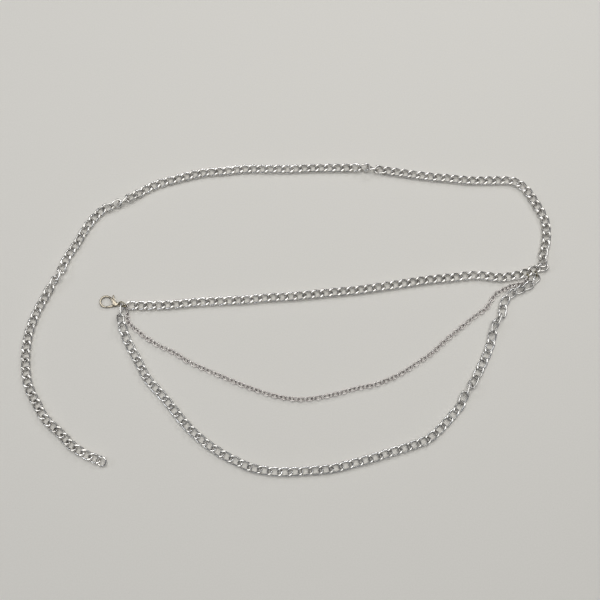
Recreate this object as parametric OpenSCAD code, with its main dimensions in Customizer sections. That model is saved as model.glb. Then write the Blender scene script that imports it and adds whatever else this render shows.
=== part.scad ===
// A waist chain laid out unfastened on a table, seen as it lies: +X to the right, +Y away, +Z up.
// One heavy curb chain runs from the clasp along a straight row, turns at a corner link and comes back
// round a wide loop to its free end ring. Two lighter swags, a curb chain and a rolo chain, hang between
// the clasp rings and the corner. The origin is the middle of the outline, on the table.

/* [Main curb chain] */
// Outer length of one link of the main chain
main_l = 11.8; // [11:0.1:12.6]
// Outer width of one link of the main chain
main_w = 8.3; // [7.8:0.1:8.8]
// Thickness of the wire of the main chain
main_wire = 1.8; // [1.5:0.05:1.85]
// Height that the twist of a main link lifts its shoulders above its middle
main_twist = 1.3; // [1.2:0.05:1.5]

/* [Swags] */
// Width of the curb swag, across its links
swag_w = 7.3; // [6:0.1:7.6]
// Height of the curb swag as it lies
swag_h = 3.4; // [2.4:0.1:4]
// Width of the rolo swag, across its round links
rolo_w = 4.3; // [3.2:0.1:4.5]

/* [Rings] */
// Outer diameter of the small jump rings
jump_od = 5.7; // [5.6:0.1:6]
// Thickness of the wire of the small jump rings
jump_wire = 0.9; // [0.6:0.05:0.95]
// Outer diameter of the ring at the free end
end_od = 9.6; // [8.8:0.1:11]
// Thickness of the wire of the end ring
end_wire = 1.7; // [1.2:0.05:1.8]

/* [Clasp] */
// Outer radius of the clasp's round nose
nose_r = 5.6; // [5:0.1:6]
// Thickness of the clasp's nose
nose_wire = 1.6; // [1.3:0.05:2]
// Thickness of the clasp's body at its cheeks
cheek_t = 2.8; // [2.5:0.1:3.4]
// Thickness of the lever between the cheeks
lever_t = 0.9; // [0.6:0.05:1.1]
// Thickness of the lever's gate outside the cheeks
gate_t = 1.6; // [1.2:0.05:1.8]
// Diameter of the pin that the lever turns on
pin_d = 1; // [0.7:0.05:1.2]
// Outer diameter of the eye at the clasp's tail
eye_od = 4.1; // [3.9:0.1:4.3]
// Thickness of the rim of the eye
eye_wire = 0.7; // [0.6:0.05:0.75]

/* [Fits] */
// Clear space between links and rings that hook into each other
link_gap = 0.12; // [0.1:0.01:0.2]
// Clear space round the pin and beside the lever
pin_gap = 0.06; // [0.04:0.01:0.1]

/* [Hidden] */

silver = "silver";
nickel = "#b0a58f";

// The routes of the chains on the table, chosen by hand
row_route = [[-136, 6], [-120, 6], [-100, 7], [-80, 9], [-60, 10], [-40, 11], [-20, 13], [0, 14],
             [20, 16], [40, 18], [60, 20], [80, 23], [100, 26], [120, 29], [140, 31], [160, 33],
             [180, 31], [190, 32], [200, 34], [210, 37.5], [218, 40]];
loop_route = [[218.7, 45.1], [220, 53], [222.5, 61], [224, 70], [224, 81], [221, 90], [216, 100], [211, 109],
              [205, 116], [198, 120], [190, 121], [180, 121], [160, 121], [140, 123], [120, 125],
              [100, 128], [80, 131], [60, 133], [40, 133], [20, 133], [0, 132], [-20, 132], [-40, 132],
              [-60, 130], [-80, 128], [-100, 123], [-120, 117], [-136, 108], [-145, 103], [-156, 97],
              [-165, 94], [-172, 87], [-178, 79], [-183, 70], [-187, 62], [-192, 54], [-196, 46],
              [-199, 37], [-203, 29], [-206, 24], [-209, 18], [-212, 12], [-215, 6], [-218, -1],
              [-220, -7], [-223, -19], [-224, -30], [-224, -40], [-223, -50], [-221, -60], [-217, -70],
              [-211, -80], [-205, -90], [-198, -97], [-191, -103], [-186, -108], [-181, -113],
              [-175, -117], [-168, -121], [-161, -124]];
swag_route = [[-145, 3.4], [-145, -6], [-143, -14], [-140, -22], [-136, -30], [-132, -37], [-128, -44],
              [-120, -58], [-108, -71], [-97, -84], [-86, -97], [-74, -108], [-60, -118], [-45, -126],
              [-30, -132], [-13, -135], [3, -135], [20, -134], [36, -132], [52, -128], [67, -124],
              [83, -119], [99, -114], [114, -108], [126, -98], [137, -86], [142, -80], [145, -73],
              [149, -67], [155, -58], [162, -45], [169, -30], [173, -15], [176, -8], [181, -1],
              [182, 5], [185, 11], [193, 16], [201, 19], [208, 22], [212, 26], [213.4, 31]];
rolo_route = [[-138, 1], [-138, -4], [-136, -9], [-132, -13], [-124, -21], [-112, -29], [-99, -35], [-86, -43],
              [-73, -49], [-59, -55], [-45, -61], [-32, -66], [-17, -71], [-3, -74], [11, -75],
              [26, -73], [40, -70], [54, -66], [69, -63], [83, -58], [95, -52], [107, -44], [119, -36],
              [130, -26], [142, -16], [153, -7], [161, -1], [167, 3], [171, 8], [174, 13], [178, 17],
              [185, 21], [191, 24], [198, 26], [203, 28]];

// Places where the main chain turns over by half a turn: the distance along its route, of the whole
row_turns = [];
loop_turns = [0.3, 0.614, 0.743];
// Rolls of the corner link and of the two links that hang on it
corner_roll = 29;
hanging_rolls = [-42, -14];

// The bends round one curb link, in shares of its half length, half width and twist, and its wire's sides
link_bends = [[1, 0, 0], [0.91, 0.48, -1], [0.5, 1, -0.7], [-0.5, 1, 0.7], [-0.91, 0.48, 1],
              [-1, 0, 0], [-0.91, -0.48, -1], [-0.5, -1, -0.7], [0.5, -1, 0.7], [0.91, -0.48, 1]];
wire_sides = 5;
// Steps in each span of a route, and sides of a swag's tube
route_steps = 6;
tube_sides = 8;

// Half the length and half the width of a main link, measured at the middle of its wire
main_a = (main_l - main_wire) / 2;
main_b = (main_w - main_wire) / 2;
// The distance from link to link, with the slack that a chain laid out loosely keeps
main_slack = 0.6;
main_pitch = main_l - 2 * main_wire - main_slack;
// How many links a half turn takes
turn_links = 5;

// One span of a smooth curve through four points, at the share t of the span
function span(a, b, c, d, t) =
    0.5 * (2 * b + (c - a) * t + (2 * a - 5 * b + 4 * c - d) * t * t
           + (3 * b - a - 3 * c + d) * t * t * t);

// The points of a smooth curve through a route
function curve(route) =
    let (n = len(route) - 1)
    concat([for (i = [0:n - 1], k = [0:route_steps - 1])
                span(route[max(i - 1, 0)], route[i], route[i + 1], route[min(i + 2, n)], k / route_steps)],
           [route[n]]);

// A path: tables of x and y by the distance along the curve, and its length
function path(route) =
    let (p = curve(route),
         s = [for (i = 0, d = 0; i < len(p); d = d + (i < len(p) - 1 ? norm(p[i + 1] - p[i]) : 0),
                   i = i + 1) d])
    [[for (i = [0:len(p) - 1]) [s[i], p[i][0]]], [for (i = [0:len(p) - 1]) [s[i], p[i][1]]],
     s[len(p) - 1]];

function spot(path, s) = [lookup(s, path[0]), lookup(s, path[1])];
function heading(path, s) = let (d = spot(path, s + 2) - spot(path, s - 2)) d / norm(d);

// The share of a half turn made at distance s, easing in and out round each turning place
function turned(path, turns, s, k = 0) =
    k >= len(turns) ? 0
    : let (u = min(max((s - turns[k] * path[2]) / (turn_links * main_pitch) + 0.5, 0), 1))
      u * u * (3 - 2 * u) + turned(path, turns, s, k + 1);

// A place given in a link's own axes: along it, across it and up from it
function on_link(link, v) =
    let (t = link[1], r = link[2], n = [-t[1], t[0], 0] / norm([t[0], t[1]]), u = cross(t, n))
    link[0] + t * v[0] + n * (v[1] * cos(r) - v[2] * sin(r)) + u * (v[1] * sin(r) + v[2] * cos(r));

// The middle of the wire at one bend of a link
function bend_at(i) = let (p = link_bends[(i + 10) % 10]) [p[0] * main_a, p[1] * main_b, p[2] * main_twist];

// A link moved up or down until it rests on the table
function rested(link) =
    let (low = min([for (i = [0:9]) (on_link(link, bend_at(i)) - link[0])[2]]))
    [[link[0][0], link[0][1], main_wire / 2 - low], link[1], link[2]];

// The roll of link i of n, and its height when it lies level
function roll_at(path, turns, first_rolls, last_roll, i, n) =
    max(i, 0) < len(first_rolls) ? first_rolls[max(i, 0)]
    : i >= n ? last_roll : 180 * turned(path, turns, path[2] * i / n);
function level_at(roll) = rested([[0, 0, 0], [1, 0, 0], roll])[0][2];

// The links of a chain along a path: each has its middle, its heading and its roll. Both end links lie level
function links(path, turns, first_rolls, last_roll) =
    let (n = ceil(path[2] / main_pitch), step = path[2] / n,
         rolls = [for (i = [-1:n + 1]) roll_at(path, turns, first_rolls, last_roll, i, n)],
         levels = [for (r = rolls) level_at(r)])
    [for (i = [0:n])
        let (p = spot(path, step * i), d = heading(path, step * i),
             rise = i % n == 0 ? 0 : (levels[i + 2] - levels[i]) / (2 * step), t = [d[0], d[1], rise])
        rested([[p[0], p[1], 0], t / norm(t), rolls[i + 1]])];

// Points round the wire of one curb link
function link_skin(link) =
    [for (i = [0:9])
        let (mid = bend_at(i), run = bend_at(i + 1) - bend_at(i - 1),
             out = [run[1], -run[0], 0] / norm([run[0], run[1]]),
             up = cross(out, run) / norm(run))
        for (k = [0:wire_sides - 1])
            let (f = 54 + 360 * k / wire_sides)
            on_link(link, mid + main_wire / 2 * (cos(f) * out + sin(f) * up))];

// Two triangles for each side of each stretch of a closed ring of sections, starting at point o
function ring_faces(o, rings, sides) =
    [for (i = [0:rings - 1], k = [0:sides - 1])
        let (j = (i + 1) % rings, m = (k + 1) % sides,
             p = o + i * sides + k, q = o + i * sides + m, u = o + j * sides + k, v = o + j * sides + m)
        each [[p, q, u], [q, v, u]]];

module curb_chain(chain) {
    skins = [for (link = chain) each link_skin(link)];
    faces = [for (i = [0:len(chain) - 1]) each ring_faces(i * 10 * wire_sides, 10, wire_sides)];
    polyhedron(points = skins, faces = faces, convexity = 10);
}

// A chain's outer form: an oval tube swept along its route, with flat ends
module chain_tube(route, width, height, step) {
    way = path(route);
    n = ceil(way[2] / step);
    points = [for (i = [0:n])
        let (s = way[2] * i / n, p = spot(way, s), t = heading(way, s))
        for (k = [0:tube_sides - 1])
            let (f = 360 * (k + 0.5) / tube_sides,
                 y = width / 2 * cos(f) / cos(180 / tube_sides),
                 z = height / 2 * (1 + sin(f) / cos(180 / tube_sides)))
            [p[0] - t[1] * y, p[1] + t[0] * y, z]];
    sides = [for (i = [0:n - 1], k = [0:tube_sides - 1])
        let (m = (k + 1) % tube_sides, o = i * tube_sides, u = o + tube_sides)
        each [[o + k, u + k, o + m], [o + m, u + k, u + m]]];
    near = [[for (k = [0:tube_sides - 1]) k]];
    far = [[for (k = [tube_sides - 1:-1:0]) n * tube_sides + k]];
    polyhedron(points = points, faces = concat(sides, near, far), convexity = 10);
}

row_path = path(row_route);
loop_path = path(loop_route);
row_chain = links(row_path, row_turns, [], corner_roll);
loop_chain = links(loop_path, loop_turns, hanging_rolls, 0);

module main_chain_row() { color(silver) curb_chain(row_chain); }

module main_chain_loop() { color(silver) curb_chain(loop_chain); }

module curb_swag() { color(silver) chain_tube(swag_route, swag_w, swag_h, 2.1 * swag_w); }

module rolo_swag() { color("darkgray") chain_tube(rolo_route, rolo_w, rolo_w, 2.4 * rolo_w); }

// A ring of round wire: its middle, the heading it faces along, and its lean about that heading
module wire_ring(middle, od, wire, turn, lean) {
    translate(middle) rotate([0, 0, turn]) rotate([lean, 0, 0])
        rotate_extrude($fn = 48) translate([(od - wire) / 2, 0]) circle(d = wire, $fn = 24);
}

function bearing(v) = atan2(v[1], v[0]);

// The jump rings are named by what they hook: their reach is the radius at the middle of the wire
jump_reach = (jump_od - jump_wire) / 2;
chain_ring_lean = -52;
clasp_ring_lean = 50;
first_link = row_chain[0];
// Height of a leaning ring's middle when it rests on the table
function lean_height(reach, wire, lean) = wire / 2 + reach * sin(abs(lean));
chain_ring_at = let (p = on_link(first_link,
    [-main_a + (main_wire + jump_wire) / 2 + 1.5 * link_gap - jump_reach, 0, 0]))
    [p[0], p[1], lean_height(jump_reach, jump_wire, chain_ring_lean)];
// The clasp's ring hooks loosely into the chain's ring, and lies on a line back and away from it
ring_line = 158;
ring_slack = 0.3;
ring_step = 2 * jump_reach - jump_wire - 1.5 * link_gap - ring_slack;
clasp_ring_at = [chain_ring_at[0] + ring_step * cos(ring_line), chain_ring_at[1] + ring_step * sin(ring_line),
                 lean_height(jump_reach, jump_wire, clasp_ring_lean)];

module chain_jump_ring() {
    color(nickel) wire_ring(chain_ring_at, jump_od, jump_wire, bearing(first_link[1]), chain_ring_lean);
}

module clasp_jump_ring() {
    color(nickel) wire_ring(clasp_ring_at, jump_od, jump_wire, ring_line - 180, clasp_ring_lean);
}

// The two rings that carry the swags' far ends stand round the lower bars of two main links
bar_ring_drop = 0.55;
swag_ring_along = 0.3;
rolo_link = row_chain[len(row_chain) - 3];
swag_link = row_chain[len(row_chain) - 2];

function bar_ring_at(link, along) =
    let (p = on_link(link, [along, -main_b - bar_ring_drop, 0])) [p[0], p[1], jump_od / 2];

module rolo_jump_ring() {
    color(nickel) wire_ring(bar_ring_at(rolo_link, 0), jump_od, jump_wire,
                            bearing(rolo_link[1]) + 90, 90);
}

module swag_jump_ring() {
    color(nickel) wire_ring(bar_ring_at(swag_link, swag_ring_along), jump_od, jump_wire,
                            bearing(swag_link[1]) + 90, 90);
}

// The end ring hooks into the last link of the loop
last_link = loop_chain[len(loop_chain) - 1];
end_reach = (end_od - end_wire) / 2;
end_lean = 25;
end_ring_at = let (p = on_link(last_link,
    [main_a - (main_wire + end_wire) / 2 - 2.5 * link_gap + end_reach, 0, 0]))
    [p[0], p[1], lean_height(end_reach, end_wire, end_lean)];

module end_ring() {
    color(silver) wire_ring(end_ring_at, end_od, end_wire, bearing(last_link[1]), end_lean);
}

// The clasp in its own axes: +X from the nose to the eye, the middle of the nose at the origin
clasp_eye = [12.1, -2.4];
clasp_pivot = [8, -2.4];
clasp_tail = [9.9, -2.4];
tail_d = 2;
// The clasp's ring passes down through the eye, which sits a little inside the ring's bend
eye_rise = (clasp_ring_at[2] - cheek_t / 2) / sin(-clasp_ring_lean);
eye_inset = 0.4;
eye_run = sqrt(jump_reach * jump_reach - eye_rise * eye_rise) - eye_inset;
eye_out = eye_rise * cos(clasp_ring_lean);
clasp_at = [clasp_ring_at[0] + eye_run * cos(ring_line) + eye_out * sin(ring_line) - clasp_eye[0],
            clasp_ring_at[1] + eye_run * sin(ring_line) - eye_out * cos(ring_line) - clasp_eye[1],
            cheek_t / 2];
nose_reach = nose_r - nose_wire / 2;
nose_from = 50;
nose_to = 262;
eye_reach = (eye_od - eye_wire) / 2;
// The outline of the cheeks, from the spine round the tail to the gate's root
cheek_outline = [[1.9, 3.7], [2.4, 4.9], [4, 4.2], [6, 2.9], [8.4, 0.8], [10, -1.1], [10.7, -2.4],
                 [10.3, -3.6], [9.5, -4.1], [8.5, -4.5], [6.2, -4.5], [5.8, -3.7], [5.5, -1.8],
                 [4.8, 0.2], [3.3, 2.4]];
slot_t = lever_t + 2 * pin_gap;
slot_from = 4.9;
slot_to = 10.3;
// The lever: the gate's tip, where the gate leaves the cheeks, and the thumb tab
gate_tip = [0.8, -4.75];
gate_root = [4.4, -4.2];
tab_tip = [6.8, 5.1];
tab_r = 0.75;
hub_r = 1.5;

module clasp_place() { translate(clasp_at) children(); }

module clasp_body() {
    color(nickel) clasp_place() {
        difference() {
            union() {
                rotate([0, 0, nose_from]) rotate_extrude(angle = nose_to - nose_from, $fn = 64)
                    translate([nose_reach, 0]) circle(d = nose_wire, $fn = 24);
                translate([0, 0, -cheek_t / 2]) linear_extrude(cheek_t) polygon(cheek_outline);
                translate([clasp_tail[0], clasp_tail[1], -cheek_t / 2])
                    cylinder(h = cheek_t, d = tail_d, $fn = 32);
            }
            translate([slot_from, -7, -slot_t / 2]) cube([slot_to - slot_from, 14, slot_t]);
            translate([clasp_pivot[0], clasp_pivot[1], -cheek_t])
                cylinder(h = 2 * cheek_t, d = pin_d + 2 * pin_gap, $fn = 32);
        }
        translate([clasp_eye[0], clasp_eye[1], 0])
            rotate_extrude($fn = 48) translate([eye_reach, 0]) circle(d = eye_wire, $fn = 24);
    }
}

module clasp_lever() {
    color(nickel) clasp_place() difference() {
        union() {
            translate([0, 0, -lever_t / 2]) linear_extrude(lever_t) {
                hull() {
                    translate(clasp_pivot) circle(r = hub_r, $fn = 20);
                    translate(gate_root) circle(d = gate_t - 0.2, $fn = 20);
                }
                hull() {
                    translate(clasp_pivot) circle(r = hub_r, $fn = 20);
                    translate(tab_tip) circle(r = tab_r, $fn = 20);
                }
            }
            hull() {
                translate([gate_tip[0], gate_tip[1], 0]) sphere(d = gate_t, $fn = 12);
                translate([gate_root[0], gate_root[1], 0]) sphere(d = gate_t, $fn = 12);
            }
        }
        translate([clasp_pivot[0], clasp_pivot[1], -cheek_t])
            cylinder(h = 2 * cheek_t, d = pin_d + 2 * pin_gap, $fn = 32);
    }
}

module clasp_pin() {
    color(nickel) clasp_place() translate([clasp_pivot[0], clasp_pivot[1], -cheek_t / 2])
        cylinder(h = cheek_t, d = pin_d, $fn = 32);
}

main_chain_row();
main_chain_loop();
end_ring();
curb_swag();
rolo_swag();
clasp_jump_ring();
chain_jump_ring();
rolo_jump_ring();
swag_jump_ring();
clasp_body();
clasp_lever();
clasp_pin();
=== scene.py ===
"""Looks of a waist chain that lies unfastened on a pale table.

Lengths of the chain are in millimetres, as a chain maker gives them. MM turns them to metres.
"""

import logging
import math
from dataclasses import dataclass
from enum import Enum

import bmesh
import bpy
import numpy as np
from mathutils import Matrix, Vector


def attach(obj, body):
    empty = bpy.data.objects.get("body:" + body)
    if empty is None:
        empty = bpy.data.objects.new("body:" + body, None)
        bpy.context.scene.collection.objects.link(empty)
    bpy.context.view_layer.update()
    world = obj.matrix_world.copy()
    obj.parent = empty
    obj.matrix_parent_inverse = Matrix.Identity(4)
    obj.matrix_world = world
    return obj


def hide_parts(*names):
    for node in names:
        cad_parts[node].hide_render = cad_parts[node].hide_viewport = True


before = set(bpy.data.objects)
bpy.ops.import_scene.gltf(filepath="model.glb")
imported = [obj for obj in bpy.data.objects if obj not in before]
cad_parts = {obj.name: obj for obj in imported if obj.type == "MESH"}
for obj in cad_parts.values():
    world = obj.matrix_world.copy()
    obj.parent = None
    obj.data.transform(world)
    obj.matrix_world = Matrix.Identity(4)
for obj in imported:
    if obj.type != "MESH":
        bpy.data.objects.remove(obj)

MM = 0.001
IMAGE_SIDE = 600
LOG = logging.getLogger("waist_chain")

# An x and y, an x, y and z, and rows of numbers such as points or stations
Spot = tuple[float, float]
Place = tuple[float, float, float]
Rows = tuple[tuple[float, ...], ...]


class Slot(Enum):
    """Material slot names that each chain and ring holds; nothing in this script reads them."""

    MAIN = "main_chain"
    CURB = "curb_swag"
    ROLO = "rolo_swag"
    RINGS = "jump_rings"
    CLASP = "clasp"


class Body(Enum):
    """The bodies that the pieces ride on."""

    CHAIN = "chain"
    LEVER = "lever"


def linear(hex_code: str) -> tuple[float, float, float, float]:
    """Turns an sRGB hex colour to linear light.

    Args:
        hex_code: Six hex digits, such as "c0b8a0".

    Returns:
        Red, green, blue and an alpha of 1.
    """
    parts = [int(hex_code[i : i + 2], 16) / 255 for i in (0, 2, 4)]
    # The sRGB curve: straight near black and a power above it
    red, green, blue = (c / 12.92 if c <= 0.04045 else ((c + 0.055) / 1.055) ** 2.4 for c in parts)
    return red, green, blue, 1.0


def add_node(
    tree: bpy.types.NodeTree,
    kind: str,
    settings: dict[str, object] | None = None,
    links: dict[str | int, object] | None = None,
) -> bpy.types.Node:
    """Adds one node with its settings, values and links.

    Args:
        tree: The material's node tree.
        kind: The node's type name.
        settings: Properties of the node by name.
        links: For each input, by name or place, the socket that feeds it or its value.

    Returns:
        The new node.
    """
    node = tree.nodes.new(kind)
    for name, value in (settings or {}).items():
        setattr(node, name, value)
    for name, value in (links or {}).items():
        if isinstance(value, bpy.types.NodeSocket):
            tree.links.new(value, node.inputs[name])
        else:
            node.inputs[name].default_value = value
    return node


@dataclass(frozen=True)
class MetalFinish:
    """A metal as it comes from plating and polishing, with the marks of its making.

    Where it is rubbed it has the bright colour and the rubbed roughness, and where film and painted
    shade are full, the dull colour and the unrubbed roughness. Two values kept on a chain's mesh
    add
    to them: "hollow_shade" is painted shade on the inside of the wire and most of all where links
    hang in one another, with the film of unpolished plate there, and "tone" sets each link a little
    apart from its neighbours. Soft patches add to the film too, and clean_share is taken off it.
    haze is how far the fine marks vary the gloss, and line_share how deep the die's lines are
    beside those marks.

    Real scratches and die lines are a few hundredths of a millimetre apart, too fine to show.
    mark_mm and line_mm draw them about ten times as coarse, for close views.
    """

    name: str
    bright: str
    dull_and_shaded: str
    rubbed: float
    unrubbed: float
    mark_mm: float
    line_mm: float
    relief_mm: float = 0.002
    patch_mm: float = 9.0
    hollow_shade_share: float = 0.9
    tone_share: float = 0.35
    patch_share: float = 0.5
    clean_share: float = 0.25
    haze: float = 0.3
    line_share: float = 0.6
    lines_a_metre: float = 60.0

    def material(self) -> bpy.types.Material:
        """Makes the material.

        Returns:
            The new material.
        """
        made = bpy.data.materials.new(self.name)
        made.use_nodes = True
        tree = made.node_tree
        shader = tree.nodes["Principled BSDF"]
        place = add_node(tree, "ShaderNodeTexCoord").outputs["Object"]
        wire = add_node(tree, "ShaderNodeUVMap", {"uv_map": "wire"}).outputs["UV"]
        hollow_shade = add_node(tree, "ShaderNodeAttribute", {"attribute_name": "hollow_shade"}).outputs["Fac"]
        tone = add_node(tree, "ShaderNodeAttribute", {"attribute_name": "tone"}).outputs["Fac"]

        patches = add_node(
            tree, "ShaderNodeTexNoise", None,
            {"Vector": place, "Scale": 1 / (self.patch_mm * MM), "Detail": 3.0, "Roughness": 0.6},
        ).outputs["Fac"]
        marks = add_node(
            tree, "ShaderNodeTexNoise", None,
            {"Vector": place, "Scale": 1 / (self.mark_mm * MM), "Detail": 4.0, "Roughness": 0.65},
        ).outputs["Fac"]
        # Lines that the drawing die left along the wire: long one way, close the other way
        stretch = add_node(
            tree, "ShaderNodeMapping", None,
            {"Vector": wire, "Scale": (self.lines_a_metre, 1 / (self.line_mm * MM), 1.0)},
        ).outputs["Vector"]
        lines = add_node(
            tree, "ShaderNodeTexNoise", {"noise_dimensions": "2D"},
            {"Vector": stretch, "Scale": 1.0, "Detail": 2.0, "Roughness": 0.5},
        ).outputs["Fac"]

        # The film and the painted shade that dull the metal: 0 where it is rubbed bright, 1 where
        # nothing reaches it and painted shade is deepest
        film_and_shade = -self.clean_share
        for source, share in (
            (hollow_shade, self.hollow_shade_share), (tone, self.tone_share), (patches, self.patch_share)
        ):
            film_and_shade = add_node(
                tree, "ShaderNodeMath",
                {"operation": "MULTIPLY_ADD", "use_clamp": source is patches},
                {0: source, 1: share, 2: film_and_shade},
            ).outputs[0]
        colour = add_node(
            tree, "ShaderNodeMix", {"data_type": "RGBA"},
            {0: film_and_shade, 6: linear(self.bright), 7: linear(self.dull_and_shaded)},
        ).outputs[2]
        tree.links.new(colour, shader.inputs["Base Color"])
        haze = add_node(
            tree, "ShaderNodeMath", {"operation": "MULTIPLY_ADD"},
            {0: marks, 1: self.haze, 2: -self.haze / 2},
        ).outputs[0]
        worn = add_node(
            tree, "ShaderNodeMath", {"operation": "ADD", "use_clamp": True}, {0: film_and_shade, 1: haze}
        ).outputs[0]
        roughness = add_node(
            tree, "ShaderNodeMapRange", {"clamp": True},
            {"Value": worn, "To Min": self.rubbed, "To Max": self.unrubbed},
        ).outputs["Result"]
        tree.links.new(roughness, shader.inputs["Roughness"])
        relief = add_node(
            tree, "ShaderNodeMath", {"operation": "MULTIPLY_ADD"},
            {0: lines, 1: self.line_share, 2: marks},
        ).outputs[0]
        bump = add_node(
            tree, "ShaderNodeBump", None,
            {"Height": relief, "Strength": 1.0, "Distance": self.relief_mm * MM},
        ).outputs["Normal"]
        tree.links.new(bump, shader.inputs["Normal"])
        shader.inputs["Metallic"].default_value = 1.0
        return made


# On a chain, each finish's dull colour is also the colour of the painted shade between its links
# Silver-plated brass, bright dipped and filed flat: white on the flats, painted shade with a grey
# film where links rub
FILED_SILVER_PLATE = MetalFinish("filed_silver_plate", "f7f5f2", "bab7b2", 0.16, 0.3, 0.45, 0.22)
# Stainless steel wire, tumbled: a cooler grey than plate, with even gloss
TUMBLED_STEEL = MetalFinish("tumbled_steel", "f1f0ee", "b2b0ad", 0.16, 0.3, 0.4, 0.2)
# Tin-nickel plate, which has a faint violet cast, on wire too fine to polish well
TIN_NICKEL_PLATE = MetalFinish("tin_nickel_plate", "e4dfdd", "a39a97", 0.2, 0.36, 0.35, 0.18)
# Nickel-plated iron wire, darkened by handling to olive
DARKENED_NICKEL = MetalFinish(
    "darkened_nickel", "a8a18b", "625b4b", 0.2, 0.38, 0.35, 0.2, patch_mm=3.0
)
# Zinc die casting under warm nickel plate: soft waves of the mould under a satin gloss
CAST_NICKEL = MetalFinish(
    "cast_warm_nickel", "aea697", "6c6558", 0.2, 0.34, 0.7, 0.4, relief_mm=0.006, patch_mm=4.0
)


@dataclass(frozen=True)
class TablePaper:
    """Matt seamless paper: pale, with the faint tooth of its fibres.

    A real tooth is a few tenths of a millimetre wide. It is drawn at 1.2 mm so that it shows.
    """

    pale: str = "e6e4df"
    shade: str = "dddbd5"
    fibre_mm: float = 1.2
    tooth_mm: float = 0.05

    def material(self) -> bpy.types.Material:
        """Makes the paper's material.

        Returns:
            The new material.
        """
        made = bpy.data.materials.new("seamless_paper")
        made.use_nodes = True
        tree = made.node_tree
        shader = tree.nodes["Principled BSDF"]
        place = add_node(tree, "ShaderNodeTexCoord").outputs["Object"]
        fibres = add_node(
            tree, "ShaderNodeTexNoise", None,
            {"Vector": place, "Scale": 1 / (self.fibre_mm * MM), "Detail": 3.0},
        ).outputs["Fac"]
        colour = add_node(
            tree, "ShaderNodeMix", {"data_type": "RGBA"},
            {0: fibres, 6: linear(self.pale), 7: linear(self.shade)},
        ).outputs[2]
        tree.links.new(colour, shader.inputs["Base Color"])
        bump = add_node(
            tree, "ShaderNodeBump", None,
            {"Height": fibres, "Strength": 0.3, "Distance": self.tooth_mm * MM},
        ).outputs["Normal"]
        tree.links.new(bump, shader.inputs["Normal"])
        shader.inputs["Roughness"].default_value = 0.9
        shader.inputs["Specular IOR Level"].default_value = 0.2
        return made


def smooth_curve(knots: Rows, steps: int) -> np.ndarray:
    """Draws a smooth curve through rows of numbers.

    Args:
        knots: The rows that it passes through.
        steps: How many steps each span takes.

    Returns:
        One row for each step, with the last knot at the end.
    """
    rows = np.array(knots, float)
    last = len(rows) - 1
    smooth = []
    for i in range(last):
        a, b, c, d = (rows[min(max(i + k, 0), last)] for k in (-1, 0, 1, 2))
        for t in np.arange(steps) / steps:
            bend = (2 * a - 5 * b + 4 * c - d) * t**2 + (3 * b - a - 3 * c + d) * t**3
            smooth.append(0.5 * (2 * b + (c - a) * t + bend))
    smooth.append(rows[last])
    return np.array(smooth)


def rounded(angle: np.ndarray, squareness: float) -> tuple[np.ndarray, np.ndarray]:
    """Gives the cosine and sine of an oval that is squarer the smaller the exponent is.

    Args:
        angle: The angles round the oval, in radians.
        squareness: The exponent, 1 for a plain oval.

    Returns:
        How far each spot is along and across, from -1 to 1.
    """
    c, s = np.cos(angle), np.sin(angle)
    return np.sign(c) * np.abs(c) ** squareness, np.sign(s) * np.abs(s) ** squareness


def mesh_of(name: str, spots: np.ndarray, faces: list[list[int]]) -> bpy.types.Mesh:
    """Makes a mesh.

    Args:
        name: The mesh's name.
        spots: Its corners, in millimetres.
        faces: The corners of each face.

    Returns:
        The new mesh, in metres.
    """
    made = bpy.data.meshes.new(name)
    made.from_pydata((spots * MM).tolist(), [], faces)
    return made


def tube_faces(rings: int, sides: int) -> list[list[int]]:
    """Gives the faces of a tube of rings, with a flat cap at each end.

    Args:
        rings: How many rings of corners the tube has.
        sides: How many corners each ring has.

    Returns:
        The corners of each face.
    """
    faces = []
    for i in range(rings - 1):
        for k in range(sides):
            m = (k + 1) % sides
            faces.append([i * sides + k, (i + 1) * sides + k, (i + 1) * sides + m, i * sides + m])
    faces.append(list(range(sides)))
    faces.append([rings * sides - 1 - k for k in range(sides)])
    return faces


def outward(mesh: bpy.types.Mesh) -> bpy.types.Mesh:
    """Turns every face of a closed mesh to face outwards.

    Args:
        mesh: The mesh, which is changed.

    Returns:
        The same mesh.
    """
    work = bmesh.new()
    work.from_mesh(mesh)
    bmesh.ops.recalc_face_normals(work, faces=work.faces)
    work.to_mesh(mesh)
    work.free()
    return mesh


def creased(mesh: bpy.types.Mesh, degrees: float) -> bpy.types.Mesh:
    """Shades a mesh smooth, with crisp edges.

    Args:
        mesh: The mesh, which is changed.
        degrees: The angle above which an edge is crisp.

    Returns:
        The same mesh.
    """
    mesh.shade_smooth()
    mesh.set_sharp_from_angle(angle=math.radians(degrees))
    return mesh


def show(
    name: str, node: str, mesh: bpy.types.Mesh, finish: bpy.types.Material, body: Body
) -> None:
    """Puts a mesh in the scene as one piece that rides on a body, in place of a plain solid.

    Args:
        name: The piece's name.
        node: The node of the solid that it replaces.
        mesh: Its mesh.
        finish: Its material.
        body: The body that it moves with.
    """
    mesh.materials.append(finish)
    piece = bpy.data.objects.new(name, mesh)
    bpy.context.scene.collection.objects.link(piece)
    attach(piece, body.value)
    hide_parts(node)
    LOG.info("%s: %d faces on %s", name, len(mesh.polygons), body.value)


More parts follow.
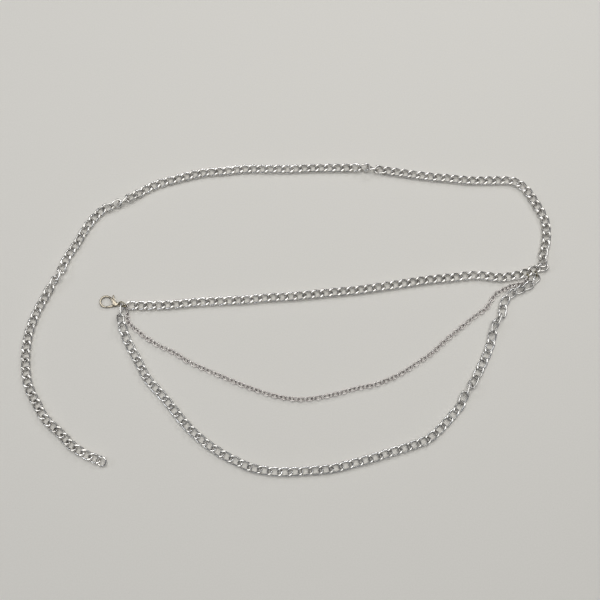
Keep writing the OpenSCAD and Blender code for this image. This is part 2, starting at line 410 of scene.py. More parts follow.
class Route:
    """A smooth path on the table through given points.

    Each span takes STEPS steps. A heading is read between the places LOOK mm before and after.
    """

    STEPS = 6
    LOOK = 2.0

    def __init__(self, points: Rows) -> None:
        """Draws a curve through the points.

        Args:
            points: The points, in millimetres.
        """
        self.spots = smooth_curve(points, self.STEPS)
        strides = np.linalg.norm(np.diff(self.spots, axis=0), axis=1)
        self.reach = np.concatenate([[0.0], np.cumsum(strides)])
        self.length = float(self.reach[-1])

    def spot(self, s: float) -> np.ndarray:
        """Gives the place at a distance along the path."""
        return np.array([np.interp(s, self.reach, self.spots[:, k]) for k in (0, 1)])

    def heading(self, s: float) -> np.ndarray:
        """Gives the direction of the path at a distance along it."""
        way = self.spot(s + self.LOOK) - self.spot(s - self.LOOK)
        return way / np.linalg.norm(way)


@dataclass(frozen=True)
class Stance:
    """How one link lies: its middle, the way it points and its roll about that, in radians."""

    middle: np.ndarray
    heading: np.ndarray
    roll: float

    def placed(self, shape: np.ndarray) -> np.ndarray:
        """Moves points given in the link's own axes to where the link lies.

        Args:
            shape: Points along the link, across it and up from it.

        Returns:
            The same points in the part's axes.
        """
        along = self.heading / np.linalg.norm(self.heading)
        across = np.array([-along[1], along[0], 0.0])
        across /= np.linalg.norm(across)
        up = np.cross(along, across)
        c, s = math.cos(self.roll), math.sin(self.roll)
        x, y, z = shape[:, :1], shape[:, 1:2], shape[:, 2:3]
        return self.middle + x * along + (y * c - z * s) * across + (y * s + z * c) * up

    def raised(self, height: float) -> "Stance":
        """Gives the same stance with its middle higher."""
        return Stance(self.middle + np.array([0, 0, height]), self.heading, self.roll)


def laid_by_hand(
    x: float, y: float, z: float, bearing: float, slope: float, roll: float
) -> Stance:
    """Gives the stance of one link that is placed on its own.

    Args:
        x: Its middle along the part, in millimetres.
        y: Its middle across the part, in millimetres.
        z: Its middle above the table, in millimetres.
        bearing: The way it points on the table, in degrees.
        slope: How steeply it rises that way, in degrees.
        roll: Its roll about that line, in degrees.

    Returns:
        The link's stance.
    """
    turn, rise = math.radians(bearing), math.radians(slope)
    level = math.cos(rise)
    heading = np.array([math.cos(turn) * level, math.sin(turn) * level, math.sin(rise)])
    return Stance(np.array([x, y, z]), heading, math.radians(roll))


@dataclass
class WireShell:
    """The skin of closed wire links, gathered as plain lists for one mesh.

    around is the length round the wire, in millimetres.
    """

    sides: int
    around: float
    corners: list[np.ndarray]
    flats: list[np.ndarray]
    hollow_shades: list[np.ndarray]
    tones: list[np.ndarray]
    runs: list[np.ndarray]

    @classmethod
    def empty(cls, sides: int, around: float) -> "WireShell":
        """Starts a shell with no links."""
        return cls(sides, around, [], [], [], [], [])

    def mesh(self, name: str) -> bpy.types.Mesh:
        """Builds the mesh, with its painted shade and tone values, its wire map and crisp edges
        round its flats.

        Args:
            name: The mesh's name.

        Returns:
            The new mesh, in metres.
        """
        sides, around = self.sides, self.around
        faces, maps, start = [], [], 0
        for skin, run in zip(self.corners, self.runs):
            bends = len(skin) // sides
            i, k = np.meshgrid(np.arange(bends), np.arange(sides), indexing="ij")
            j, m = (i + 1) % bends, (k + 1) % sides
            quads = np.stack([i * sides + k, j * sides + k, j * sides + m, i * sides + m], -1)
            faces.append(quads.reshape(-1, 4) + start)
            near, far = run[:-1][i], run[1:][i]
            low, high = k * around / sides, (k + 1) * around / sides
            square = np.stack([near, low, far, low, far, high, near, high], -1)
            maps.append(square.reshape(-1, 2))
            start += len(skin)
        every_face = np.concatenate(faces)
        made = mesh_of(name, np.concatenate(self.corners), every_face.tolist())
        made.uv_layers.new(name="wire").data.foreach_set(
            "uv", (np.concatenate(maps) * MM).astype(np.float32).ravel()
        )
        # hollow_shade holds the painted shade between links, tone the random tone of each link
        for label, parts in (("hollow_shade", self.hollow_shades), ("tone", self.tones)):
            values = made.attributes.new(label, "FLOAT", "POINT")
            values.data.foreach_set("value", np.concatenate(parts).astype(np.float32))
        made.shade_smooth()
        flat = np.concatenate(self.flats)
        if flat.any():
            edge_of = np.empty(len(made.loops), np.int32)
            made.loops.foreach_get("edge_index", edge_of)
            level = np.abs(flat[every_face].sum(1)) == 4
            bounding = edge_of.reshape(-1, 4)[level].ravel()
            touching = np.bincount(bounding, minlength=len(made.edges))
            made.edges.foreach_set("use_edge_sharp", touching == 1)
        made.validate()
        return made


@dataclass
class Chain:
    """A chain of closed wire links that lies along a route. Sizes in millimetres.

    The links before and after the route are given one by one. The others lie on it one pitch apart
    or a little less, each a few degrees out of true, as far as loose_roll and loose_turn let it.
    """

    name: str
    node: str
    route: Rows
    length: float
    width: float
    wire: float
    pitch: float
    finish: MetalFinish
    slot: Slot
    seed: int
    bends: int
    sides: int
    before: tuple[Stance, ...] = ()
    after: tuple[Stance, ...] = ()
    loose_roll: float = 2.5
    loose_turn: float = 1.2
    least_hollow_shade: float = 0.3
    end_hollow_shade: float = 0.9

    # The loose lie has draws of its own, and the die lines of a link start up to 40 mm along
    LOOSE_SEED = 40
    FARTHEST_START = 40.0

    def outline(self) -> np.ndarray:
        """Gives the middle of the wire round one link, in the link's own axes."""
        raise NotImplementedError

    def roll(self, place: int, count: int) -> float:
        """Gives the roll of the link at a place of a count along the route, in degrees."""
        raise NotImplementedError

    def filed(self) -> float:
        """Gives the height at which flats are filed on a link, above its middle."""
        return math.inf

    def skin(self, centre: np.ndarray) -> tuple[np.ndarray, np.ndarray, np.ndarray]:
        """Wraps a round wire about a closed line and files its flats.

        Args:
            centre: The middle of the wire, in the link's own axes.

        Returns:
            The points of the skin, where it is filed flat, and the painted shade of each spot.
        """
        run = np.roll(centre, -1, 0) - np.roll(centre, 1, 0)
        run /= np.linalg.norm(run, axis=1, keepdims=True)
        out = np.stack([run[:, 1], -run[:, 0], np.zeros(len(run))], 1)
        out /= np.linalg.norm(out, axis=1, keepdims=True)
        up = np.cross(out, run)
        turn = 2 * np.pi * (np.arange(self.sides) + 0.5) / self.sides
        c, s = np.cos(turn)[None, :, None], np.sin(turn)[None, :, None]
        round_wire = c * out[:, None] + s * up[:, None]
        skin = (centre[:, None] + self.wire / 2 * round_wire).reshape(-1, 3)
        top = self.filed()
        flat = np.sign(skin[:, 2]) * (np.abs(skin[:, 2]) > top)
        skin[:, 2] = np.clip(skin[:, 2], -top, top)
        # Painted shade on the inside of the wire, deepest near the ends where links hang in one
        # another and shade falls; polish reaches least there too, so it also stands for a grey film
        inner = np.tile((1 - np.cos(turn)) / 2, len(centre)) ** 2
        end = np.repeat(np.abs(centre[:, 0]) / (self.length / 2), self.sides) ** 2
        return skin, flat, inner * (self.least_hollow_shade + self.end_hollow_shade * end)

    def rested(self, link: Stance, shape: np.ndarray) -> Stance:
        """Sets a link down until its skin touches the table."""
        return link.raised(-link.placed(shape)[:, 2].min())

    def stances(self) -> list[Stance]:
        """Lays the links along the route, each resting on the table.

        Returns:
            One stance for each link.
        """
        way = Route(self.route)
        count = math.ceil(way.length / self.pitch)
        step = way.length / count
        shape = self.skin(self.outline())[0]
        rolls = [math.radians(self.roll(i, count)) for i in range(-1, count + 2)]
        flat_out = (Stance(np.zeros(3), np.array([1.0, 0, 0]), roll) for roll in rolls)
        level = [self.rested(link, shape).middle[2] for link in flat_out]
        if self.before:
            level[0] = self.before[-1].middle[2]
        if self.after:
            level[-1] = self.after[0].middle[2]
        chance = np.random.default_rng(self.seed + self.LOOSE_SEED)
        laid = []
        for i in range(count + 1):
            x, y = way.spot(step * i)
            dx, dy = way.heading(step * i)
            level_end = (i == 0 and not self.before) or (i == count and not self.after)
            rise = 0.0 if level_end else (level[i + 2] - level[i]) / (2 * step)
            nudge = chance.uniform(-1, 1, 2) if 1 < i < count - 1 else np.zeros(2)
            turn = math.radians(self.loose_turn * nudge[0])
            heading = np.array([dx - dy * turn, dy + dx * turn, rise])
            roll = rolls[i + 1] + math.radians(self.loose_roll * nudge[1])
            laid.append(self.rested(Stance(np.array([x, y, 0.0]), heading, roll), shape))
        return [*self.before, *laid, *self.after]

    def links(self) -> list[tuple[Stance, np.ndarray]]:
        """Gives each link's stance with the middle line of its wire."""
        centre = self.outline()
        return [(link, centre) for link in self.stances()]

    def build(self) -> None:
        """Builds the whole chain as one piece in place of its plain solid."""
        shell = WireShell.empty(self.sides, math.pi * self.wire)
        chance = np.random.default_rng(self.seed)
        for link, centre in self.links():
            skin, flat, hollow_shade = self.skin(centre)
            strides = np.linalg.norm(np.roll(centre, -1, 0) - centre, axis=1)
            run = np.concatenate([[0.0], np.cumsum(strides)])
            shell.corners.append(link.placed(skin))
            shell.flats.append(flat)
            shell.hollow_shades.append(hollow_shade)
            shell.tones.append(np.full(len(skin), chance.random()))
            shell.runs.append(run + chance.random() * self.FARTHEST_START)
        finish = self.finish.material()
        show(self.name, self.node, shell.mesh(self.name), finish, Body.CHAIN)


@dataclass
class CurbChain(Chain):
    """Oval links that are each given a twist, so that they lie flat in one another.

    turns holds the middles of the half turns in the chain, as shares of the route, and sway the
    roll of the rest of it at some shares. The rolls of the first links and the last are given.
    """

    twist: float = 1.3
    squareness: float = 0.86
    flat_share: float = 0.7
    turns: tuple[float, ...] = ()
    turn_links: float = 4.0
    first_rolls: tuple[float, ...] = ()
    last_roll: float = 0.0
    sway: Rows = ((0.0, 0.0), (1.0, 0.0))

    def outline(self) -> np.ndarray:
        """Gives the middle of the wire round one twisted link.

        Returns:
            Points along the link, across it and up from it.
        """
        t = 2 * np.pi * np.arange(self.bends) / self.bends
        along, across = rounded(t, self.squareness)
        x = (self.length - self.wire) / 2 * along
        y = (self.width - self.wire) / 2 * across
        return np.stack([x, y, -self.twist * np.sin(2 * t)], 1)

    def filed(self) -> float:
        """Gives the height of the flats above the link's middle."""
        return self.twist + self.flat_share * self.wire / 2

    def roll(self, place: int, count: int) -> float:
        """Gives a link's roll: given at the ends, else half turns and sway along the route.

        Args:
            place: The link's place, from one before the route to one past it.
            count: The place of the last link on the route.

        Returns:
            The roll, in degrees.
        """
        first = max(place, 0)
        if first < len(self.first_rolls):
            return self.first_rolls[first]
        if place >= count and self.last_roll:
            return self.last_roll
        share = place / count
        sway = float(np.interp(share, *zip(*self.sway)))
        return sway + 180 * sum(self.turned((share - at) * count) for at in self.turns)

    def turned(self, past: float) -> float:
        """Gives the share of a half turn made some links past its middle, easing in and out."""
        u = min(max(past / self.turn_links + 0.5, 0.0), 1.0)
        return u * u * (3 - 2 * u)


@dataclass
class RoloChain(Chain):
    """Round links in turn nearly flat and steep, each flatter one held up by its neighbours.

    The links roll spread to one side and the other of a lean. Over the even_links at each end the
    lean fades away. lift is how far a flatter link is held up for each degree it is flatter. The
    first link of all, which hangs in a jump ring, is a longer oval.
    """

    lean: float = 20.0
    spread: float = 37.0
    even_links: float = 5.0
    lift: float = 0.042
    drift: float = 0.2
    drift_rate: float = 9.0
    eye_link: tuple[Stance, ...] = ()
    eye_length: float = 9.6
    eye_width: float = 3.95

    def oval(self, length: float, width: float) -> np.ndarray:
        """Gives the middle of the wire round an oval link.

        Args:
            length: The link's length over its wire.
            width: The link's width over its wire.

        Returns:
            Points along the link, across it and up from it.
        """
        t = 2 * np.pi * np.arange(self.bends) / self.bends
        x = (length - self.wire) / 2 * np.cos(t)
        y = (width - self.wire) / 2 * np.sin(t)
        return np.stack([x, y, 0 * t], 1)

    def outline(self) -> np.ndarray:
        """Gives the middle of the wire round one round link."""
        return self.oval(self.length, self.width)

    def links(self) -> list[tuple[Stance, np.ndarray]]:
        """Gives the long first link and then the round ones."""
        eye = self.oval(self.eye_length, self.eye_width)
        return [*((link, eye) for link in self.eye_link), *super().links()]

    def roll(self, place: int, count: int) -> float:
        """Gives a link's roll: to one side and the other in turn, evenly near the ends.

        Args:
            place: The link's place, from one before the route to one past it.
            count: The place of the last link on the route.

        Returns:
            The roll, in degrees.
        """
        uneven = min(max(min(place, count - place) / self.even_links, 0.0), 1.0)
        drift = 1 + self.drift * math.sin(self.drift_rate * place / count)
        return self.lean * uneven * drift + self.spread * (-1 if place % 2 else 1)

    def stances(self) -> list[Stance]:
        """Lays the links, with the flatter ones lifted clear of the table.

        Returns:
            One stance for each link.
        """
        laid = super().stances()
        for i in range(len(self.before), len(laid) - len(self.after)):
            flatter = max(self.spread - abs(math.degrees(laid[i].roll)), 0.0)
            laid[i] = laid[i].raised(self.lift * flatter)
        return laid


@dataclass
class WireRing:
    """A ring of round wire bent shut, with the cut where its ends meet. Sizes in millimetres.

    It leans about a line in its own plane, and that line is then turned on the table, in degrees.
    """

    name: str
    node: str
    middle: Place
    turn: float
    lean: float
    cut_at: float
    across: float = 5.7
    wire: float = 0.9
    finish: MetalFinish = DARKENED_NICKEL
    slot: Slot = Slot.RINGS
    cut: float = 0.12
    pinch: float = 0.9
    crease: float = 50.0
    bends: int = 48
    sides: int = 14

    def build(self) -> None:
        """Builds the ring in place of its plain solid."""
        reach = (self.across - self.wire) / 2
        gap = self.cut / reach
        along = np.linspace(gap / 2, 2 * np.pi - gap / 2, self.bends)
        angles = math.radians(self.cut_at) + along
        around = 2 * np.pi * np.arange(self.sides) / self.sides
        # The very ends of the wire are a little thinner, as cutters leave them
        swell = np.ones(self.bends)
        swell[[0, -1]] = self.pinch
        radius = self.wire / 2 * swell
        ring = reach + radius[:, None] * np.cos(around)[None]
        x = ring * np.cos(angles)[:, None]
        y = ring * np.sin(angles)[:, None]
        z = radius[:, None] * np.sin(around)[None]
        spots = np.stack([x, y, z], -1).reshape(-1, 3)
        lean, turn = math.radians(self.lean), math.radians(self.turn)
        c, s = math.cos(lean), math.sin(lean)
        tilt = np.array([[1, 0, 0], [0, c, -s], [0, s, c]])
        c, s = math.cos(turn), math.sin(turn)
        spin = np.array([[c, -s, 0], [s, c, 0], [0, 0, 1]])
        spots = spots @ (spin @ tilt).T + np.array(self.middle)
        made = mesh_of(self.name, spots, tube_faces(self.bends, self.sides))
        made.validate()
        finish = self.finish.material()
        show(self.name, self.node, creased(made, self.crease), finish, Body.CHAIN)


@dataclass
class Casting:
    """A smooth solid drawn over stations, each with two edges and half a thickness.

    A station is the x and y of its outer edge, the x and y of its inner edge, and half its
    thickness, in millimetres.
    """

    stations: Rows
    squareness: float = 0.8
    steps: int = 4
    sides: int = 20

    # Where the rounded ends have their sections, in degrees
    END_ANGLES = (30.0, 55.0, 75.0)

    def mesh(self, name: str, at: Place) -> bpy.types.Mesh:
        """Builds the closed solid with rounded ends.

        Args:
            name: The mesh's name.
            at: Where its own origin lies in the part's axes.

        Returns:
            The new mesh, in metres.
        """
        rows = smooth_curve(self.stations, self.steps)
        middle = (rows[:, :2] + rows[:, 2:4]) / 2
        half = (rows[:, :2] - rows[:, 2:4]) / 2
        thick = rows[:, 4]
        ends = []
        for end, inward in ((0, 1), (-1, -2)):
            run = middle[end] - middle[inward]
            run = run / np.linalg.norm(run) * min(thick[end], np.linalg.norm(half[end]))
            ends.append([
                (middle[end] + run * math.sin(a), half[end] * math.cos(a), thick[end] * math.cos(a))
                for a in np.radians(self.END_ANGLES)
            ])
        line = [*reversed(ends[0]), *zip(middle, half, thick), *ends[1]]
        around = 2 * np.pi * (np.arange(self.sides) + 0.5) / self.sides
        side, rise = rounded(around, self.squareness)
        spots = np.concatenate([
            np.column_stack([c + np.outer(side, w), rise * t]) for c, w, t in line
        ])
        return outward(mesh_of(name, spots + np.array(at), tube_faces(len(line), self.sides)))


def cut_and_join(
    mesh: bpy.types.Mesh,
    joined: tuple[bpy.types.Mesh, ...],
    cut: tuple[bpy.types.Mesh, ...],
    crease: float,
) -> bpy.types.Mesh:
    """Joins solids to a solid and cuts others out of it.

    Args:
        mesh: The solid to start from.
        joined: The solids to join to it.
        cut: The solids to cut out of it.
        crease: The angle above which an edge of the result is crisp, in degrees.

    Returns:
        The finished mesh, smooth with crisp cut edges.
    """
    collection = bpy.context.scene.collection
    work = bpy.data.objects.new("casting_work", mesh)
    collection.objects.link(work)
    tools = []
    for operation, solids in (("UNION", joined), ("DIFFERENCE", cut)):
        for solid in solids:
            tool = bpy.data.objects.new("casting_tool", solid)
            collection.objects.link(tool)
            tools.append(tool)
            step = work.modifiers.new("step", "BOOLEAN")
            step.operation = operation
            step.solver = "EXACT"
            step.object = tool
    seen = work.evaluated_get(bpy.context.evaluated_depsgraph_get())
    made = bpy.data.meshes.new_from_object(seen)
    made.name = mesh.name + "_cast"
    for spare in (work, *tools):
        bpy.data.objects.remove(spare)
    made.materials.clear()
    return creased(made, crease)


@dataclass
class LobsterClasp:
    """The sprung clasp: a cast body, a lever with a thumb tab, and the pin that it turns on.

    Sizes are in millimetres and angles in degrees, from the middle of the hook, which lies at the
    place at. The cheeks, the gate and the tab are stations of castings.
    """

    at: Place = (-158.997, 9.671, 1.4)
    nose_reach: float = 4.8
    nose_half: float = 0.8
    nose_from: float = 265.0
    nose_to: float = 62.0
    nose_stations: int = 11
    tip_share: float = 0.8
    tip_taper: float = 5.0
    pivot: Spot = (8.0, -2.4)
    eye: Spot = (12.1, -2.4)
    eye_reach: float = 1.7
    eye_half: float = 0.35
    pin_half: float = 0.5
    pin_reach: float = 1.36
    fit: float = 0.06
    slot_half: float = 0.51
    slot_low: Spot = (4.9, -7.0)
    slot_high: Spot = (10.05, 7.0)
    bore_reach: float = 2.5
    crease: float = 38.0
    pin_sides: int = 24
    eye_bends: int = 40
    eye_sides: int = 14
    finish: MetalFinish = CAST_NICKEL
    cheeks: Rows = (
        (3.9, 4.35, 2.9, 2.7, 1.0), (5.2, 3.5, 3.9, 1.5, 1.2), (6.5, 2.5, 4.8, -0.2, 1.35),
        (7.7, 1.45, 5.3, -2.1, 1.4), (8.8, 0.35, 5.8, -3.9, 1.4), (9.7, -0.75, 7.2, -4.5, 1.35),
        (10.4, -1.7, 8.9, -4.4, 1.15), (10.75, -2.3, 10.1, -3.6, 0.85),
    )
    gate: Rows = (
        (0.55, -4.05, 0.4, -5.35, 0.65), (1.6, -3.8, 1.55, -5.4, 0.76),
        (3.0, -3.6, 3.1, -5.2, 0.8), (4.3, -3.4, 4.6, -4.95, 0.7),
        (5.2, -2.9, 5.6, -4.7, 0.45), (6.3, -1.9, 6.9, -4.2, 0.44), (7.6, -1.0, 8.4, -3.85, 0.44),
    )
    tab: Rows = (
        (6.9, -3.4, 9.2, -3.4, 0.44), (6.5, -2.0, 9.4, -2.2, 0.44), (6.3, -0.4, 8.9, -0.2, 0.44),
        (6.1, 1.4, 8.0, 1.6, 0.44), (6.0, 2.8, 7.2, 2.95, 0.44), (5.95, 3.7, 6.85, 3.85, 0.5),
        (5.6, 4.4, 6.9, 4.5, 0.62), (5.4, 5.0, 6.95, 5.05, 0.72), (5.65, 5.5, 6.7, 5.5, 0.6),
    )

    def body(self) -> bpy.types.Mesh:
        """Builds the cast body: the hook, the slotted cheeks and the eye.

        Returns:
            The new mesh.
        """
        nose = []
        for share in np.linspace(0, 1, self.nose_stations):
            angle = math.radians(self.nose_from + (self.nose_to - self.nose_from) * share)
            c, s = math.cos(angle), math.sin(angle)
            thinned = (1 - self.tip_share) * min(share * self.tip_taper, 1)
            half = self.nose_half * (self.tip_share + thinned)
            out, inner = self.nose_reach + half, self.nose_reach - half
            nose.append((out * c, out * s, inner * c, inner * s, half))
        shape = Casting((*nose, *self.cheeks)).mesh("clasp_body", self.at)
        slot = self.block("clasp_slot", self.slot_low, self.slot_high, self.slot_half)
        return cut_and_join(shape, (self.rim(),), (slot, self.bore()), self.crease)

    def lever(self) -> bpy.types.Mesh:
        """Builds the lever: the gate that shuts the hook, the arm in the slot and the tab.

        Returns:
            The new mesh.
        """
        gate = Casting(self.gate).mesh("clasp_gate", self.at)
        tab = Casting(self.tab).mesh("clasp_tab", self.at)
        return cut_and_join(gate, (tab,), (self.bore(),), self.crease)

    def pin(self) -> bpy.types.Mesh:
        """Builds the pin with its ends a little domed by the riveting.

        Returns:
            The new mesh.
        """
        # From the crown of the dome out to the wall: the radius, and the height past pin_reach
        end = ((0.0, 0.04), (0.3, 0.03), (self.pin_half, -0.05))
        low = [(r, -self.pin_reach - z) for r, z in end]
        high = [(r, self.pin_reach + z) for r, z in reversed(end)]
        return creased(self.turned_solid("clasp_pin_rivet", (*low, *high)), self.crease)

    def bore(self) -> bpy.types.Mesh:
        """Builds the rod that leaves the hole for the pin."""
        half, reach = self.pin_half + self.fit, self.bore_reach
        return self.turned_solid("clasp_bore", ((half, -reach), (half, reach)))

    def turned_solid(self, name: str, profile: Rows) -> bpy.types.Mesh:
        """Turns a profile round the pin's axis.

        Args:
            name: The mesh's name.
            profile: The radius and the height of each ring of corners.

        Returns:
            The new mesh.
        """
        # A ring of corners with no radius would shut on itself
        thinnest = 0.02
        turn = 2 * np.pi * np.arange(self.pin_sides) / self.pin_sides
        spots = []
        for radius, z in profile:
            r = max(radius, thinnest)
            for a in turn:
                spots.append((self.pivot[0] + r * math.cos(a), self.pivot[1] + r * math.sin(a), z))
        faces = tube_faces(len(profile), self.pin_sides)
        return outward(mesh_of(name, np.array(spots) + np.array(self.at), faces))

    def block(self, name: str, low: Spot, high: Spot, half: float) -> bpy.types.Mesh:
        """Builds a block between two corners.

        Args:
            name: The mesh's name.
            low: Its corner with the lowest x and y.
            high: Its corner with the highest x and y.
            half: Half its thickness.

        Returns:
            The new mesh.
        """
        corners = (low, (high[0], low[1]), high, (low[0], high[1]))
        spots = np.array([(x, y, z) for x, y in corners for z in (-half, half)])
        faces = [[0, 2, 4, 6], [1, 7, 5, 3]]
        faces += [[2 * k, 2 * k + 1, (2 * k + 3) % 8, (2 * k + 2) % 8] for k in range(4)]
        return outward(mesh_of(name, spots + np.array(self.at), faces))

    def rim(self) -> bpy.types.Mesh:
        """Builds the flat-lying ring of round wire that is the clasp's eye.

        Returns:
            The new mesh.
        """
        bends, sides = self.eye_bends, self.eye_sides
        spots = []
        for a in 2 * np.pi * np.arange(bends) / bends:
            for b in 2 * np.pi * np.arange(sides) / sides:
                r = self.eye_reach + self.eye_half * math.cos(b)
                x, y = self.eye[0] + r * math.cos(a), self.eye[1] + r * math.sin(a)
                spots.append((x, y, self.eye_half * math.sin(b)))
        faces = []
        for i in range(bends):
            for k in range(sides):
                j, m = (i + 1) % bends, (k + 1) % sides
                faces.append([i * sides + k, j * sides + k, j * sides + m, i * sides + m])
        return outward(mesh_of("clasp_eye", np.array(spots) + np.array(self.at), faces))

    def build(self) -> None:
        """Builds the clasp's pieces in place of its plain solids."""
        made = self.finish.material()
        for name, mesh, body, node in (
            ("clasp_hook_and_eye", self.body(), Body.CHAIN, "clasp_body"),
            ("clasp_thumb_lever", self.lever(), Body.LEVER, "clasp_lever"),
            ("clasp_rivet", self.pin(), Body.CHAIN, "clasp_pin"),
        ):
            show(name, node, mesh, made, body)


@dataclass
class Studio:
    """The pale floor, the soft lights and the camera. The camera's sizes are in millimetres."""

    floor_m: float = 4.0
    target: Place = (8.0, 11.0, 2.0)
    distance: float = 800.0
    elevation: float = 75.0
    pixels_per_radian: float = 930.2
    nearest_m: float = 0.01
    paper: TablePaper = TablePaper()

    def lay_floor(self) -> None:
        """Lays the pale paper under the chain."""
        half = self.floor_m / 2
        corners = [(-half, -half, 0), (half, -half, 0), (half, half, 0), (-half, half, 0)]
        made = bpy.data.meshes.new("floor")
        made.from_pydata(corners, [], [(0, 1, 2, 3)])
        made.materials.append(self.paper.material())
        floor = bpy.data.objects.new("floor", made)
        bpy.context.scene.collection.objects.link(floor)

    def place_camera(self) -> None:
        """Places the camera at the photograph's angle."""
        lens = bpy.data.cameras.new("camera")
        lens.lens = lens.sensor_width * self.pixels_per_radian / IMAGE_SIDE
        lens.clip_start = self.nearest_m
        camera = bpy.data.objects.new("camera", lens)
        bpy.context.scene.collection.objects.link(camera)
        rise = math.radians(self.elevation)
        back = Vector((0, -math.cos(rise), math.sin(rise))) * self.distance
        camera.location = (Vector(self.target) + back) * MM
        camera.rotation_euler = (math.pi / 2 - rise, 0, 0)
        bpy.context.scene.camera = camera

    def hang_light(self, name: str, at: Place, side: float, power: float, tint: str) -> None:
        """Hangs one soft square light that faces the middle of the chain.

        Args:
            name: The light's name.
            at: Its place, in metres.
            side: The length of its side, in metres.
            power: Its power, in watts.
            tint: Its colour.
        """
        lamp = bpy.data.lights.new(name, "AREA")
        lamp.shape = "SQUARE"
        lamp.size = side
        lamp.energy = power
        lamp.color = linear(tint)[:3]
        light = bpy.data.objects.new(name, lamp)
        bpy.context.scene.collection.objects.link(light)
        light.location = at
        light.rotation_euler = (-Vector(at)).to_track_quat("-Z", "Y").to_euler()

    def light(self) -> None:
        """Hangs the soft lights and sets the room's own: bright overhead, dim near the floor."""
        self.hang_light("overhead_softbox", (0.05, 0.3, 1.6), side=1.5, power=16.0, tint="fffdf9")
        self.hang_light("back_softbox", (0.8, 1.25, 1.0), side=0.4, power=4.5, tint="fbfcff")
        self.hang_light("left_softbox", (-1.4, 0.2, 0.9), side=0.4, power=2.5, tint="f4f8ff")
        world = bpy.data.worlds.new("room")
        world.use_nodes = True
        tree = world.node_tree
        room = tree.nodes["Background"]
        toward = add_node(tree, "ShaderNodeTexCoord").outputs["Generated"]
        height = add_node(tree, "ShaderNodeSeparateXYZ", None, {"Vector": toward}).outputs["Z"]
        glow = add_node(
            tree, "ShaderNodeMapRange", {"interpolation_type": "SMOOTHSTEP"},
            {"Value": height, "From Min": 0.1, "From Max": 0.9, "To Min": 0.06, "To Max": 0.34},
        ).outputs["Result"]
        tree.links.new(glow, room.inputs["Strength"])
        room.inputs["Color"].default_value = linear("e4e6ea")
        bpy.context.scene.world = world
        bpy.context.scene.view_settings.view_transform = "Standard"

    def build(self) -> None:
        """Builds the whole studio."""
        self.lay_floor()
        self.place_camera()
        self.light()


# The routes of the four chains, followed through the photograph
ROW_ROUTE: Rows = (
    (-136, 6), (-120, 6), (-100, 7), (-80, 9), (-60, 10), (-40, 11), (-20, 13), (0, 14),
    (20, 16), (40, 18), (60, 20), (80, 23), (100, 26), (120, 29), (140, 31), (160, 33),
    (180, 31), (190, 32), (200, 34), (210, 37.5), (218, 40),
)
LOOP_ROUTE: Rows = (
    (218.8, 45.35), (220, 53), (222.5, 61), (223.9, 70), (223.9, 81), (221, 90), (216, 100),
    (211, 109), (205, 116), (198, 120), (190, 121), (180, 121), (160, 121), (140, 123),
    (120, 125), (100, 128), (80, 131), (60, 132.9), (40, 132.9), (20, 132.9), (0, 132),
    (-20, 132), (-40, 132), (-60, 130), (-80, 128), (-100, 123), (-120, 117), (-136, 108),
    (-145, 103), (-156, 97), (-165, 94), (-172, 87), (-178, 79), (-183, 70), (-187, 62),
    (-192, 54), (-196, 46), (-199, 37), (-203, 29), (-206, 24), (-209, 18), (-212, 12),
    (-215, 6), (-218, -1), (-220, -7), (-223, -19), (-224, -30), (-224, -40), (-223, -50),
    (-221, -60), (-217, -70), (-211, -80), (-205, -90), (-198, -97), (-191, -103),
    (-186, -108), (-181, -113), (-175, -117), (-168, -121), (-161, -124),
)
SWAG_ROUTE: Rows = (
    (-142.8, -14.5), (-140, -22), (-136, -30), (-132, -37), (-128, -44), (-120, -58),
    (-108, -71), (-97, -84), (-86, -97), (-74, -108), (-60, -118), (-45, -126), (-30, -132),
    (-13, -134.7), (3, -134.7), (20, -133.7), (36, -132), (52, -128), (67, -124), (83, -119),
    (99, -114), (114, -108), (126, -98), (137, -86), (142, -80), (145, -73), (149, -67),
    (155, -58), (162, -45), (169, -30), (173, -15), (176, -8), (181, -1), (182, 5),
    (185, 11), (190, 16), (197, 19.5), (204, 23),
)
ROLO_ROUTE: Rows = (
    (-139.2, -6.8), (-138, -9.5), (-134.5, -13), (-129, -17.5), (-124, -21.5), (-112, -29),
    (-99, -35), (-86, -43), (-73, -49), (-59, -55), (-45, -61), (-32, -66), (-17, -71),
    (-3, -74), (11, -75), (26, -73), (40, -70), (54, -66), (69, -63), (83, -58), (95, -52),
    (107, -44), (119, -36), (130, -26), (142, -16), (153, -7), (161, -1), (167, 3),
    (171, 8), (174, 13), (178, 17), (185, 21), (191, 24), (198.6, 25.3),
)


def main_run(
    name: str, node: str, route: Rows, seed: int, **lie: float | tuple[float, ...]
) -> CurbChain:
    """Gives one run of the main chain.

    Args:
        name: The piece's name.
        node: The node that it replaces.
        route: The route that it lies along.
        seed: The seed of its loose lie.
        **lie: How it turns and rolls along the route.

    Returns:
        The run of chain.
    """
    return CurbChain(
        name, node, route, length=11.8, width=8.3, wire=1.8, pitch=7.6,
        finish=FILED_SILVER_PLATE, slot=Slot.MAIN, seed=seed, bends=48, sides=14, **lie,
    )


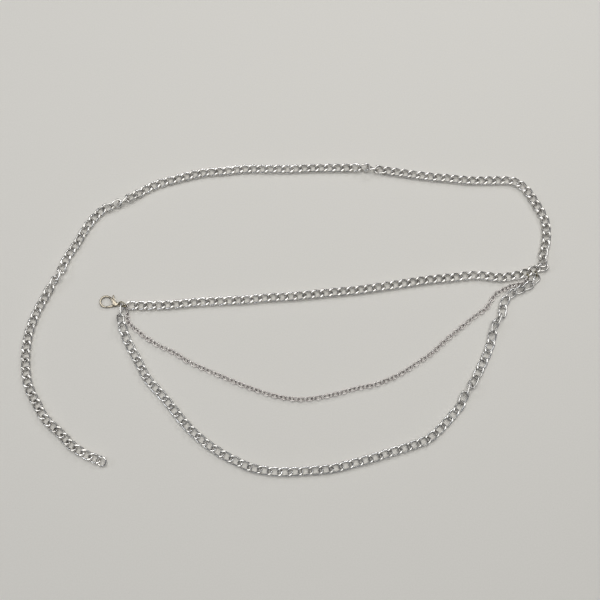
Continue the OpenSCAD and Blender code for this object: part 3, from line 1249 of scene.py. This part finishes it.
def chains() -> tuple[Chain, ...]:
    """Gives the four runs of chain, with the links beside the rings given one by one.

    Returns:
        The two runs of the main chain, then the two swags.
    """
    return (
        main_run("main_row", "main_chain_row", ROW_ROUTE, 3, last_roll=29.0),
        main_run(
            "main_loop", "main_chain_loop", LOOP_ROUTE, 4,
            turns=(0.3, 0.614, 0.743), first_rolls=(-42.0, -14.0),
        ),
        CurbChain(
            "curb_swag_links", "curb_swag", SWAG_ROUTE, length=12.95, width=7.75, wire=1.55,
            pitch=8.55, finish=TUMBLED_STEEL, slot=Slot.CURB, seed=5, bends=40, sides=12,
            twist=1.25, squareness=0.74, turns=(0.774, 0.906), turn_links=3.3,
            sway=((0.0, 0.0), (0.94, 0.0), (0.968, 42.0), (1.0, 38.0)), first_rolls=(-8.0,),
            before=(
                laid_by_hand(-144.9, 0.75, 4.25, -106, -10, -92),
                laid_by_hand(-145.2, -7.8, 3.7, -86, 14, -52),
            ),
            after=(laid_by_hand(210.95, 28.05, 3.4, 50.5, -9.5, 51),),
        ),
        RoloChain(
            "rolo_swag_links", "rolo_swag", ROLO_ROUTE, length=5.7, width=4.5, wire=0.85,
            pitch=3.7, finish=TIN_NICKEL_PLATE, slot=Slot.ROLO, seed=6, bends=28, sides=10,
            eye_link=(laid_by_hand(-140.1, 2.1, 2.8, -86, -20, 36),),
            before=(laid_by_hand(-139.5, -3.2, 1.6, -78, -4, -39),),
            after=(
                laid_by_hand(201.7, 26.6, 1.7, 27, -9, 42),
                laid_by_hand(204.5, 28.6, 2, 45, 10, -13),
            ),
        ),
    )


def rings() -> tuple[WireRing, ...]:
    """Gives the rings, each at its place, with its turn, its lean and where it was cut.

    Returns:
        The four jump rings and the ring at the free end.
    """
    return (
        WireRing("chain_ring", "chain_jump_ring", (-141.87, 6.044, 2.341), -0.4, -52.0, 150.0),
        WireRing("clasp_ring", "clasp_jump_ring", (-145.041, 7.325, 2.289), -22.0, 50.0, 100.0),
        WireRing("rolo_ring", "rolo_jump_ring", (205.0, 31.9, 2.85), 102.0, 90.0, 60.0),
        WireRing("swag_ring", "swag_jump_ring", (212.227, 34.231, 2.85), 108.3, 90.0, 70.0),
        WireRing(
            "tail_ring", "end_ring", (-154.95, -126.3, 2.65), -38.0, 25.0, 20.0,
            across=9.6, wire=1.7, finish=FILED_SILVER_PLATE, slot=Slot.MAIN, sides=16,
        ),
    )


def main() -> None:
    """Builds the studio and the chain's pieces in order."""
    logging.basicConfig(level=logging.INFO, format="%(message)s")
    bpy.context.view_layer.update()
    Studio().build()
    for chain in chains():
        chain.build()
    for ring in rings():
        ring.build()
    LobsterClasp().build()


if __name__ == "__main__":
    main()
